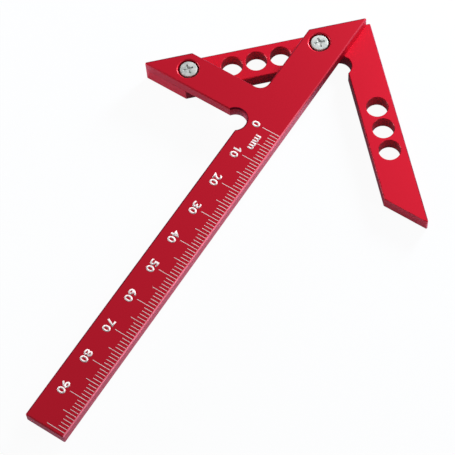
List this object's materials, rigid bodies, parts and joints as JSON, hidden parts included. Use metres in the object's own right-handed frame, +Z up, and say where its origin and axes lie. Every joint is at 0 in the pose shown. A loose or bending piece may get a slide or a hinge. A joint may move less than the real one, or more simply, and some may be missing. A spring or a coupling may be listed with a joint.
{
  "type": "centre finder",
  "caption": "Centre finder: a millimetre ruler with a triangular head screwed over a right-angled vee frame with holed arms, for marking centre, 45 and 90 degree lines.",
  "frame": {"origin": "Under the middle of the object's box, on the plane of the frame's underside", "axes": "+X along the ruler away from the vee's apex, +Y towards the free arm, +Z up out of the face that carries the scale. The vee's centre line is the X axis."},
  "size_m": [0.1466, 0.0898, 0.0075],
  "materials": {
    "red_anodised": "fine matt blast under red dyed anodising, with bright broken edges",
    "screw_steel": "bright zinc-plated steel"
  },
  "bodies": {
    "root": {"vee_frame": "red_anodised", "ruler_plate": "red_anodised", "apex_screw": "screw_steel", "heel_screw": "screw_steel"}
  },
  "joints": []
}
